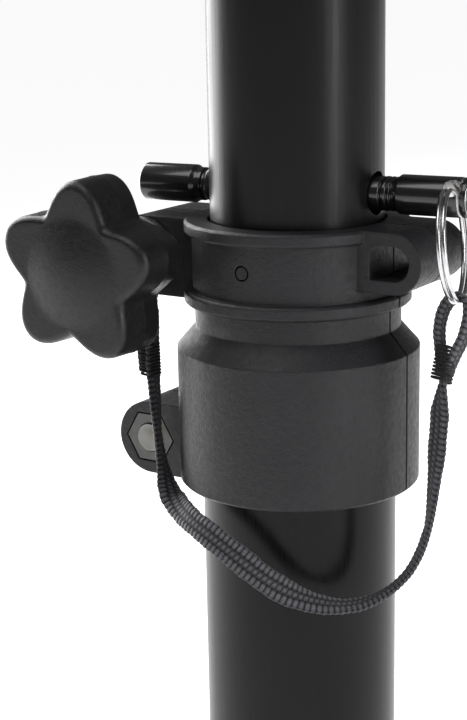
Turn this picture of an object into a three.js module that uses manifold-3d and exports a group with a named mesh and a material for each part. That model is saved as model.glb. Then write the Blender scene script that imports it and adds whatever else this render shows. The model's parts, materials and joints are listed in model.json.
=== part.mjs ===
// Telescopic height clamp of a loudspeaker stand: a 35 mm mast held in a 40 mm column
// by a two-half collar, a star knob and a captive locking pin.  Millimetres, +Z up.
import * as THREE from 'three';
import { mergeVertices } from 'three/addons/utils/BufferGeometryUtils.js';
import Module from 'manifold-3d';

const wasm = await Module();
wasm.setup();

// ---------------------------------------------------------------- driving dimensions
const GAP = 0.3; // clearance between neighbouring solids
const FINE = 64; // facets round the visible turned parts
const COARSE = 28; // facets round hidden and small parts

// tubes
const MAST_R = 17.5;
const MAST_WALL = 2;
const COLUMN_WALL = 2;
const TUBE_CLEAR = 0.5; // between the mast and the column's bore, on the radius
const FLANGE_Z = 175; // top face of the collar above the floor
const MAST_ABOVE = 80; // mast standing out of the collar
const MAST_FOOT_Z = 20; // lower end of the mast inside the column
const PLUG_FLANGE = 3;
const PLUG_DEPTH = 12;

// collar: depths are below its top face, walls are on the radius
const LINER_WALL = 1.4;
const LINER_DEPTH = 14;
const LINER_SLIT = 3;
const LIP_T = 1.2;
const GROOVE_WALL = 1.8;
const FLANGE_PROUD = 1.5; // how far flange and rib stand out of the groove
const FLANGE_T = 2.7;
const RIB_PROUD = 1.7;
const RIB_DEPTH = 14;
const RIB_T = 2.8;
const NECK_WALL = 1.45;
const NECK_END = 21.6;
const BODY_WALL = 4.46;
const BODY_START = 25.9;
const BODY_END = 54.1;
const COLUMN_DEPTH = BODY_START - 0.9; // the column ends just above the shoulder's foot
const EDGE = 0.5; // small rounded edges of the moulding
const SPLIT = 0.3; // each shell stops this far from the split plane

// clamping ears on the knob side, with M8 above and M6 below
const EAR_REACH = 6.14; // bolt axes beyond the collar's body
const EAR_FACE = 10; // outer faces of each pair of ears, from the split plane
const STUD_R = 4;
const NUT8_AF = 13;
const NUT8_T = 6.5;
const BOLT6_R = 3;
const NUT6_AF = 10;
const NUT6_T = 5;
const HEAD6_T = 4;
const HOLE_CLEAR = 0.2; // clearance hole over a screw, on the radius
const UPPER_EAR_WALL = 0.7; // outside the corners of the nut
const UPPER_EAR_DEPTH = 8.6;
const LOWER_EAR_WALL = 2.03;
const LOWER_EAR_DEPTH = 48.1;

// eye ears on the pin side
const EYE_BEYOND = 7.64; // reach beyond the collar's body
const EYE_LOW = 11.8;
const EYE_RIM = 2.5;
const EYE_CORNER = 5.9;

// knob
const KNOB_R = 18.5;
const KNOB_VALLEY = 13.2;
const KNOB_T = 12.9;
const KNOB_EDGE = 2;
const KNOB_DOME = 1.6;
const KNOB_HUB_R = 8;
const KNOB_HUB_T = 4;
const STRAP_ROOM = 5.8; // length of stud that the strap's loop takes
const WASHER_R = 8;
const WASHER_T = 1.6;
const INSERT_R = 6;
const INSERT_T = 9;

// locking pin and its ring
const PIN_TURN = THREE.MathUtils.degToRad(4.5); // the mast's holes lie this far round
const PIN_R = 3.9;
const PIN_ABOVE = 1.7; // between the pin and the collar's top face
const PIN_WAIST_CUT = 0.5;
const PIN_WAIST_BEYOND = 4.5; // waist beyond the mast, each side
const PIN_LEFT = 35.4;
const PIN_END = 3.8; // pin beyond its cross hole
const PIN_BEVEL = 0.8;
const PIN_HOLE_BEYOND = 1.2; // cross hole beyond the eye ears
const PIN_HOLE_CLEAR = 0.85;
const PIN_HOLE_TILT = THREE.MathUtils.degToRad(34);
const MAST_HOLE_CLEAR = 0.4;
const RING_R = 10.4;
const RING_TURNS = 1.9;
const WIRE_R = 0.45;
const WIRE_APART = 0.1;
const RING_HANG = THREE.MathUtils.degToRad(36);
const RING_LEAN = THREE.MathUtils.degToRad(7);
const RING_YAW = THREE.MathUtils.degToRad(10);

// strap
const STRAP_R = 1.2;
const STRAP_SIDES = 8;

// liner peg
const PEG_R = 1.25;
const PEG_DEPTH = 8;

// ---------------------------------------------------------------- sizes that follow
const down = (depth) => FLANGE_Z - depth;
const MAST_IN = MAST_R - MAST_WALL;
const MAST_TOP = FLANGE_Z + MAST_ABOVE;
const COLUMN_IN = MAST_R + TUBE_CLEAR;
const COLUMN_R = COLUMN_IN + COLUMN_WALL;
const COLUMN_TOP = down(COLUMN_DEPTH);
const COLUMN_BORE = COLUMN_R + GAP;
const STEP_Z = COLUMN_TOP + GAP; // where the collar's bore steps from liner to column
const LINER_IN = MAST_R + GAP;
const LINER_OUT = LINER_IN + LINER_WALL;
const LINER_BORE = LINER_OUT + GAP;
const LIP_R = LINER_IN + GAP;
const GROOVE_R = LINER_BORE + GROOVE_WALL;
const FLANGE_R = GROOVE_R + FLANGE_PROUD;
const RIB_R = GROOVE_R + RIB_PROUD;
const NECK_R = LINER_BORE + NECK_WALL;
const BODY_R = COLUMN_BORE + BODY_WALL;
const BOLT_X = -(BODY_R + EAR_REACH);
const UPPER_EAR_R = NUT8_AF / Math.sqrt(3) + UPPER_EAR_WALL;
const LOWER_EAR_R = NUT6_AF / Math.sqrt(3) + LOWER_EAR_WALL;
const UPPER_Z = down(UPPER_EAR_DEPTH);
const LOWER_Z = down(LOWER_EAR_DEPTH);
const EYE_REACH = BODY_R + EYE_BEYOND;
const KNOB_HUB_END = EAR_FACE + GAP + WASHER_T + STRAP_ROOM;
const KNOB_BACK = KNOB_HUB_END + KNOB_HUB_T;
const KNOB_FRONT = KNOB_BACK + KNOB_T;
const INSERT_BACK = KNOB_HUB_END + INSERT_T + GAP;
const PIN_Z = FLANGE_Z + PIN_R + PIN_ABOVE;
const PIN_WAIST_R = PIN_R - PIN_WAIST_CUT;
const PIN_WAIST = MAST_R + PIN_WAIST_BEYOND;
const PIN_HOLE_AT = EYE_REACH + PIN_HOLE_BEYOND;
const PIN_RIGHT = PIN_HOLE_AT + PIN_END;
const WIRE_PITCH = 2 * WIRE_R + WIRE_APART;
const PIN_HOLE_R = WIRE_PITCH / 2 + WIRE_R + PIN_HOLE_CLEAR;
const FAR = 200; // beyond every solid, for cutting

// ---------------------------------------------------------------- materials
const material = (hex, roughness, metalness) =>
  new THREE.MeshStandardMaterial({ color: hex, roughness, metalness });
const nylon = () => material(0x34363c, 0.5, 0);
const grip = () => material(0x2a2829, 0.45, 0);
const paint = () => material(0x1c1c1e, 0.35, 0.1);
const zinc = () => material(0xb9bcc0, 0.3, 1);
const blackSteel = () => material(0x101012, 0.2, 0.3);
const webbing = () => material(0x141416, 0.8, 0);
const liner = () => material(0xd9d7d0, 0.5, 0);

// ---------------------------------------------------------------- solid helpers
function solid(geometry) {
  const bare = geometry.clone();
  bare.deleteAttribute('normal');
  bare.deleteAttribute('uv');
  const merged = mergeVertices(bare, 1e-4);
  return new wasm.Manifold(new wasm.Mesh({
    numProp: 3,
    vertProperties: new Float32Array(merged.attributes.position.array),
    triVerts: new Uint32Array(merged.index.array),
  }));
}

function named(name, body, surface) {
  const data = body.getMesh();
  const geometry = new THREE.BufferGeometry();
  geometry.setAttribute('position', new THREE.BufferAttribute(data.vertProperties, 3));
  geometry.setIndex(new THREE.BufferAttribute(data.triVerts, 1));
  geometry.computeVertexNormals();
  const mesh = new THREE.Mesh(geometry, surface);
  mesh.name = name;
  return mesh;
}

// turned solid about +Z from [radius, z] points, counter-clockwise in the r-z plane
function turned(points, segments = FINE) {
  const outline = points.map(([r, z]) => new THREE.Vector2(r, z));
  const geometry = new THREE.LatheGeometry(outline, segments);
  geometry.rotateX(Math.PI / 2);
  return solid(geometry);
}

function hollow(outer, inner, bottom, top, segments = FINE) {
  return turned([[inner, bottom], [outer, bottom], [outer, top], [inner, top], [inner, bottom]],
    segments);
}

// round bar along Y between two y values
function barY(x, z, radius, y0, y1, segments = COARSE) {
  const geometry = new THREE.CylinderGeometry(radius, radius, y1 - y0, segments);
  geometry.translate(x, (y0 + y1) / 2, z);
  return solid(geometry);
}

// a flat shape drawn in X and Z, extruded along Y from y0 to y1
function slabY(shape, y0, y1, curveSegments = 24) {
  const geometry = new THREE.ExtrudeGeometry(shape,
    { depth: y1 - y0, bevelEnabled: false, curveSegments });
  geometry.rotateX(Math.PI / 2);
  geometry.translate(0, y1, 0);
  return solid(geometry);
}

function box(x0, x1, y0, y1, z0, z1) {
  const geometry = new THREE.BoxGeometry(x1 - x0, y1 - y0, z1 - z0);
  geometry.translate((x0 + x1) / 2, (y0 + y1) / 2, (z0 + z1) / 2);
  return solid(geometry);
}

// hexagon with corners on +X and -X, across-flats size af, centred on a bolt axis
function hexagon(x, z, af) {
  const shape = new THREE.Shape();
  const corner = af / Math.sqrt(3);
  for (let i = 0; i < 6; i += 1) {
    const angle = i * Math.PI / 3;
    const px = x + corner * Math.cos(angle);
    const pz = z + corner * Math.sin(angle);
    if (i === 0) shape.moveTo(px, pz);
    else shape.lineTo(px, pz);
  }
  shape.closePath();
  return shape;
}

// ---------------------------------------------------------------- column and mast
function columnTube() {
  return named('column_tube',
    hollow(COLUMN_R, COLUMN_IN, PLUG_FLANGE + GAP, COLUMN_TOP), paint());
}

function columnFootPlug() {
  const spigot = COLUMN_IN - GAP;
  const top = PLUG_FLANGE + PLUG_DEPTH;
  return named('column_foot_plug', turned([
    [0, 0], [COLUMN_R - EDGE, 0], [COLUMN_R, EDGE], [COLUMN_R, PLUG_FLANGE],
    [spigot, PLUG_FLANGE], [spigot, top], [spigot - PLUG_FLANGE, top],
    [spigot - PLUG_FLANGE, PLUG_FLANGE + GAP], [0, PLUG_FLANGE + GAP],
  ]), grip());
}

// guide ring on the column's upper end: keeps the mast central in the collar
function columnGuideRing() {
  return named('column_guide_ring', hollow(LINER_OUT, MAST_R + GAP / 2,
    STEP_Z, down(LINER_DEPTH) - GAP), liner());
}

function mastTube() {
  const tube = hollow(MAST_R, MAST_IN, MAST_FOOT_Z, MAST_TOP);
  const bore = new THREE.CylinderGeometry(PIN_R + MAST_HOLE_CLEAR, PIN_R + MAST_HOLE_CLEAR,
    4 * MAST_R, COARSE);
  bore.rotateZ(Math.PI / 2);
  bore.rotateZ(PIN_TURN);
  bore.translate(0, 0, PIN_Z);
  return named('mast_tube', tube.subtract(solid(bore)), paint());
}

function mastTopPlug() {
  const spigot = MAST_IN - GAP;
  const seat = MAST_TOP + GAP;
  const top = seat + PLUG_FLANGE;
  return named('mast_top_plug', turned([
    [0, seat - GAP], [spigot - PLUG_FLANGE, seat - GAP], [spigot - PLUG_FLANGE, seat - PLUG_DEPTH],
    [spigot, seat - PLUG_DEPTH], [spigot, seat], [MAST_R, seat], [MAST_R, top - EDGE],
    [MAST_R - EDGE, top], [0, top],
  ]), grip());
}

// guide plug on the mast's lower end: runs in the column's bore
function mastGuidePlug() {
  const runner = COLUMN_IN - GAP / 2;
  const spigot = MAST_IN - GAP;
  const seat = MAST_FOOT_Z - GAP;
  return named('mast_guide_plug', turned([
    [0, seat - PLUG_FLANGE], [runner, seat - PLUG_FLANGE], [runner, seat], [spigot, seat],
    [spigot, seat + PLUG_DEPTH], [spigot - PLUG_FLANGE, seat + PLUG_DEPTH],
    [spigot - PLUG_FLANGE, seat + GAP], [0, seat + GAP],
  ]), grip());
}

// ---------------------------------------------------------------- collar
function collarTurning() {
  return turned([
    [LINER_BORE, STEP_Z],
    [COLUMN_BORE, STEP_Z],
    [COLUMN_BORE, down(BODY_END)],
    [BODY_R - EDGE, down(BODY_END)],
    [BODY_R, down(BODY_END - EDGE)],
    [BODY_R, down(BODY_START)],
    [NECK_R, down(NECK_END)],
    [NECK_R, down(RIB_DEPTH + RIB_T)],
    [RIB_R - EDGE, down(RIB_DEPTH + RIB_T)],
    [RIB_R, down(RIB_DEPTH + RIB_T - EDGE)],
    [RIB_R, down(RIB_DEPTH + EDGE)],
    [RIB_R - EDGE, down(RIB_DEPTH)],
    [GROOVE_R, down(RIB_DEPTH)],
    [GROOVE_R, down(FLANGE_T)],
    [FLANGE_R - EDGE, down(FLANGE_T)],
    [FLANGE_R, down(FLANGE_T - EDGE)],
    [FLANGE_R, down(EDGE)],
    [FLANGE_R - EDGE, down(0)],
    [LIP_R, down(0)],
    [LIP_R, down(LIP_T)],
    [LINER_BORE, down(LIP_T)],
    [LINER_BORE, STEP_Z],
  ]);
}

// what the ears must not fill: the stepped bore, run on past both ends
function collarBore() {
  const below = 0;
  const above = FLANGE_Z + 1;
  return turned([
    [0, below], [COLUMN_BORE, below], [COLUMN_BORE, STEP_Z], [LINER_BORE, STEP_Z],
    [LINER_BORE, down(LIP_T)], [LIP_R, down(LIP_T)], [LIP_R, above], [0, above],
  ]);
}

// one clamping ear: a tongue with a half-round end about the bolt axis
function clampingEar(z, radius, y0, y1) {
  const shape = new THREE.Shape();
  shape.moveTo(-MAST_R, z - radius);
  shape.lineTo(-MAST_R, z + radius);
  shape.lineTo(BOLT_X, z + radius);
  shape.absarc(BOLT_X, z, radius, Math.PI / 2, 3 * Math.PI / 2, false);
  shape.lineTo(-MAST_R, z - radius);
  return slabY(shape, y0, y1);
}

// outline of the eye ears; inset 0 is the outside, inset EYE_RIM the opening
function eyeOutline(inset) {
  const left = inset ? GROOVE_R + GAP : MAST_R;
  const right = EYE_REACH - inset;
  const top = down(inset);
  const low = down(EYE_LOW - inset);
  const corner = EYE_CORNER - inset;
  const shape = new THREE.Shape();
  shape.moveTo(left, low);
  shape.lineTo(right - corner, low);
  shape.absarc(right - corner, low + corner, corner, -Math.PI / 2, 0, false);
  shape.lineTo(right, top - corner);
  shape.absarc(right - corner, top - corner, corner, 0, Math.PI / 2, false);
  shape.lineTo(left, top);
  shape.closePath();
  return shape;
}

function collarShell(side) {
  const near = side < 0 ? -EAR_FACE : SPLIT;
  const far = side < 0 ? -SPLIT : EAR_FACE;
  let shell = collarTurning();
  shell = shell.add(clampingEar(UPPER_Z, UPPER_EAR_R, near, far));
  shell = shell.add(clampingEar(LOWER_Z, LOWER_EAR_R, near, far));
  shell = shell.add(slabY(eyeOutline(0), near, far));
  shell = shell.subtract(slabY(eyeOutline(EYE_RIM), -FAR, FAR));
  shell = shell.subtract(collarBore());
  shell = shell.subtract(barY(BOLT_X, UPPER_Z, STUD_R + HOLE_CLEAR, -FAR, FAR));
  shell = shell.subtract(barY(BOLT_X, LOWER_Z, BOLT6_R + HOLE_CLEAR, -FAR, FAR));
  const half = side < 0
    ? box(-FAR, FAR, -FAR, -SPLIT, 0, MAST_TOP)
    : box(-FAR, FAR, SPLIT, FAR, 0, MAST_TOP);
  shell = shell.intersect(half);
  if (side < 0) {
    const pocket = EAR_FACE - NUT6_T - GAP;
    shell = shell.subtract(slabY(hexagon(BOLT_X, LOWER_Z, NUT6_AF + 2 * GAP), -FAR, -pocket));
    shell = shell.subtract(barY(0, down(PEG_DEPTH), PEG_R + GAP, -BODY_R - 1, -MAST_R));
    return named('collar_front_shell', shell, nylon());
  }
  const pocket = EAR_FACE - NUT8_T - GAP;
  shell = shell.subtract(slabY(hexagon(BOLT_X, UPPER_Z, NUT8_AF + 2 * GAP), pocket, FAR));
  return named('collar_rear_shell', shell, nylon());
}

// split sleeve that grips the mast when the shells close
function brakeLiner() {
  let sleeve = hollow(LINER_OUT, LINER_IN, down(LINER_DEPTH), down(LIP_T + GAP));
  sleeve = sleeve.subtract(box(0, 2 * MAST_R, -LINER_SLIT / 2, LINER_SLIT / 2, 0, MAST_TOP));
  return named('brake_liner', sleeve, liner());
}

function linerPeg() {
  return named('liner_locating_peg',
    barY(0, down(PEG_DEPTH), PEG_R, -GROOVE_R + GAP / 3, -LINER_OUT - GAP, 24), grip());
}

// ---------------------------------------------------------------- fasteners
function nut(name, x, z, af, boreR, y0, y1) {
  const blank = slabY(hexagon(x, z, af), y0, y1);
  return named(name, blank.subtract(barY(x, z, boreR, y0 - 1, y1 + 1, 24)), zinc());
}

function clampNut() {
  return nut('clamp_nut', BOLT_X, UPPER_Z, NUT8_AF, STUD_R + HOLE_CLEAR,
    EAR_FACE - NUT8_T, EAR_FACE);
}

function lowerNut() {
  return nut('lower_nut', BOLT_X, LOWER_Z, NUT6_AF, BOLT6_R + HOLE_CLEAR,
    -EAR_FACE, -EAR_FACE + NUT6_T);
}

function lowerWasher() {
  const face = EAR_FACE + GAP;
  const plate = barY(BOLT_X, LOWER_Z, 2 * BOLT6_R, face, face + WASHER_T, 24);
  const hole = barY(BOLT_X, LOWER_Z, BOLT6_R + HOLE_CLEAR, 0, 2 * face, 24);
  return named('lower_bolt_washer', plate.subtract(hole), zinc());
}

function lowerBolt() {
  const seat = EAR_FACE + WASHER_T + 2 * GAP;
  const shank = barY(BOLT_X, LOWER_Z, BOLT6_R, -EAR_FACE - GAP, seat + 1, 24);
  const head = slabY(hexagon(BOLT_X, LOWER_Z, NUT6_AF), seat, seat + HEAD6_T);
  return named('lower_bolt', shank.add(head), zinc());
}

// ---------------------------------------------------------------- knob
const KNOB_TURNED = THREE.MathUtils.degToRad(85); // one lobe points almost straight up

// smooth five-lobed outline in X and Z about the knob's own axis
function knobOutline(shrink) {
  const shape = new THREE.Shape();
  const steps = 70;
  for (let i = 0; i < steps; i += 1) {
    const angle = 2 * Math.PI * i / steps;
    const wave = (0.5 + 0.5 * Math.cos(5 * (angle - KNOB_TURNED))) ** 0.8;
    const radius = KNOB_VALLEY + (KNOB_R - KNOB_VALLEY) * wave - shrink;
    const x = radius * Math.cos(angle);
    const z = radius * Math.sin(angle);
    if (i === 0) shape.moveTo(x, z);
    else shape.lineTo(x, z);
  }
  shape.closePath();
  return shape;
}

// shallow dome standing out of the grip's front face
function knobDome() {
  const radius = KNOB_VALLEY - KNOB_EDGE;
  const points = [[0, -1], [radius, -1]];
  for (let i = 0; i <= 6; i += 1) {
    const angle = i * Math.PI / 12;
    points.push([radius * Math.cos(angle), KNOB_DOME * Math.sin(angle)]);
  }
  const outline = points.map(([r, z]) => new THREE.Vector2(r, z));
  outline[outline.length - 1].x = 0;
  const geometry = new THREE.LatheGeometry(outline, COARSE);
  geometry.rotateX(Math.PI);
  geometry.translate(BOLT_X, -KNOB_FRONT, UPPER_Z);
  return solid(geometry);
}

function knobBody() {
  const geometry = new THREE.ExtrudeGeometry(knobOutline(KNOB_EDGE), {
    depth: KNOB_T - 2 * KNOB_EDGE,
    bevelEnabled: true,
    bevelThickness: KNOB_EDGE,
    bevelSize: KNOB_EDGE,
    bevelSegments: 2,
  });
  geometry.rotateX(Math.PI / 2);
  geometry.translate(BOLT_X, -KNOB_BACK - KNOB_EDGE, UPPER_Z);
  let body = solid(geometry);
  body = body.add(barY(BOLT_X, UPPER_Z, KNOB_HUB_R, -KNOB_BACK - 1, -KNOB_HUB_END));
  body = body.add(knobDome());
  body = body.subtract(barY(BOLT_X, UPPER_Z, INSERT_R + GAP, -INSERT_BACK, 0));
  return named('knob_body', body, grip());
}

// metal insert moulded into the hub, screwed on the stud
function knobInsert() {
  const blank = barY(BOLT_X, UPPER_Z, INSERT_R, -INSERT_BACK + GAP, -KNOB_HUB_END);
  const bore = barY(BOLT_X, UPPER_Z, STUD_R + HOLE_CLEAR, -INSERT_BACK, 0, 24);
  return named('knob_insert', blank.subtract(bore), zinc());
}

function knobStud() {
  return named('knob_stud',
    barY(BOLT_X, UPPER_Z, STUD_R, -INSERT_BACK + 2 * GAP, EAR_FACE - GAP, 24), zinc());
}

function knobWasher() {
  const face = -EAR_FACE - GAP;
  const plate = barY(BOLT_X, UPPER_Z, WASHER_R, face - WASHER_T, face, 32);
  const bore = barY(BOLT_X, UPPER_Z, STUD_R + HOLE_CLEAR, 2 * face, 0, 24);
  return named('knob_washer', plate.subtract(bore), zinc());
}

// ---------------------------------------------------------------- locking pin and ring
function lockingPin() {
  const profile = [
    [0, -PIN_LEFT], [PIN_R - PIN_BEVEL, -PIN_LEFT], [PIN_R, -PIN_LEFT + PIN_BEVEL],
    [PIN_R, -PIN_WAIST], [PIN_WAIST_R, -PIN_WAIST + PIN_WAIST_CUT],
    [PIN_WAIST_R, PIN_WAIST - PIN_WAIST_CUT], [PIN_R, PIN_WAIST],
    [PIN_R, PIN_RIGHT - PIN_BEVEL], [PIN_R - PIN_BEVEL, PIN_RIGHT], [0, PIN_RIGHT],
  ];
  const outline = profile.map(([r, z]) => new THREE.Vector2(r, z));
  const geometry = new THREE.LatheGeometry(outline, COARSE);
  geometry.rotateZ(-Math.PI / 2); // lathe axis +Y to +X
  const cross = new THREE.CylinderGeometry(PIN_HOLE_R, PIN_HOLE_R, 4 * PIN_R, 24);
  cross.rotateX(-PIN_HOLE_TILT);
  cross.translate(PIN_HOLE_AT, 0, 0);
  const pin = solid(geometry).subtract(solid(cross));
  const mesh = named('locking_pin', pin, blackSteel());
  const turnedPin = new THREE.Group();
  turnedPin.rotation.z = PIN_TURN;
  turnedPin.position.z = PIN_Z;
  turnedPin.add(mesh);
  return turnedPin;
}

const PIN_HOLE = new THREE.Vector3(
  PIN_HOLE_AT * Math.cos(PIN_TURN),
  PIN_HOLE_AT * Math.sin(PIN_TURN),
  PIN_Z,
);

// nearly two turns of spring wire about local +X, centred on the origin,
// with the pin's hole at local +Z
class SplitRingCurve extends THREE.Curve {
  getPoint(t, target = new THREE.Vector3()) {
    const turns = RING_TURNS * (t - 0.5);
    const angle = 2 * Math.PI * turns;
    return target.set(WIRE_PITCH * turns, -RING_R * Math.sin(angle), RING_R * Math.cos(angle));
  }
}

function wireSection(radius, sides) {
  const shape = new THREE.Shape();
  for (let i = 0; i < sides; i += 1) {
    const angle = 2 * Math.PI * i / sides;
    const x = radius * Math.cos(angle);
    const y = radius * Math.sin(angle);
    if (i === 0) shape.moveTo(x, y);
    else shape.lineTo(x, y);
  }
  shape.closePath();
  return shape;
}

function splitRing() {
  const geometry = new THREE.ExtrudeGeometry(wireSection(WIRE_R, 8),
    { extrudePath: new SplitRingCurve(), steps: 56, bevelEnabled: false });
  const mesh = named('split_ring', solid(geometry), zinc());
  // hang: the wire leaves the pin's tilted hole, and the ring leans off the eye ears
  const up = new THREE.Vector3(0, Math.sin(RING_HANG), Math.cos(RING_HANG));
  const along = new THREE.Vector3(0, -Math.cos(RING_HANG), Math.sin(RING_HANG));
  up.applyAxisAngle(along, RING_LEAN);
  up.applyAxisAngle(new THREE.Vector3(0, 0, 1), RING_YAW);
  along.applyAxisAngle(new THREE.Vector3(0, 0, 1), RING_YAW);
  const side = new THREE.Vector3().crossVectors(along, up);
  const hanger = new THREE.Group();
  hanger.quaternion.setFromRotationMatrix(new THREE.Matrix4().makeBasis(side, along, up));
  hanger.position.copy(PIN_HOLE).addScaledVector(up, -RING_R);
  hanger.add(mesh);
  return hanger;
}

// ---------------------------------------------------------------- strap
// one woven strap from the knob's stud to the ring, in three lengths that meet end to end
const STRAP_LEFT = [
  [-25.3, -14.8, 166], [-25.9, -14.9, 156], [-25.8, -15.2, 146], [-25.2, -15.6, 137],
  [-24.6, -15.9, 130], [-23.3, -16.4, 124], [-20.8, -18.0, 119.6], [-16.0, -21.4, 117.4],
  [-10.5, -24.6, 116.2], [-4.6, -26.6, 114.6], [1.5, -27.0, 111.6], [7.6, -25.9, 107.6],
  [13.0, -23.6, 104.4], [18.0, -20.2, 102.5], [22.6, -16.2, 102.2], [26.6, -12.4, 104.0],
  [29.8, -10.0, 107.6], [32.2, -9.2, 112.2], [33.8, -9.2, 116.6],
];
const STRAP_MIDDLE = [
  [33.92, -9.2, 117.0], [34.4, -9.2, 120.0], [34.8, -9.2, 123.5], [35.15, -9.15, 127.0],
  [35.4, -9.1, 130.0], [35.6, -9.05, 133.0], [35.8, -9.0, 136.0], [35.95, -8.95, 138.5],
  [36.1, -8.9, 141.0], [36.3, -8.8, 143.5], [36.45, -8.6, 146.0], [36.55, -8.2, 148.4],
];
const STRAP_EYE = [
  [36.57, -8.1, 148.8], [36.7, -7.0, 152.0], [36.8, -5.5, 155.6], [36.9, -4.3, 158.6],
  [36.9, -3.6, 160.6],
];

function strapPiece(name, points, steps) {
  const path = new THREE.CatmullRomCurve3(points.map((p) => new THREE.Vector3(...p)));
  const geometry = new THREE.ExtrudeGeometry(wireSection(STRAP_R, STRAP_SIDES),
    { extrudePath: path, steps, bevelEnabled: false });
  return named(name, solid(geometry), webbing());
}

// ---------------------------------------------------------------- assembly
const clamp = new THREE.Group();
clamp.add(
  columnTube(), columnFootPlug(), columnGuideRing(),
  mastTube(), mastTopPlug(), mastGuidePlug(),
  collarShell(-1), collarShell(1), brakeLiner(), linerPeg(),
  clampNut(), lowerNut(), lowerWasher(), lowerBolt(),
  knobBody(), knobInsert(), knobStud(), knobWasher(),
  lockingPin(), splitRing(),
  strapPiece('strap_left', STRAP_LEFT, 40),
  strapPiece('strap_middle', STRAP_MIDDLE, 11),
  strapPiece('strap_eye', STRAP_EYE, 4),
);

export default clamp;
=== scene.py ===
"""Height clamp of a loudspeaker stand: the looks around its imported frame."""

import json
import math
import random

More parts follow.
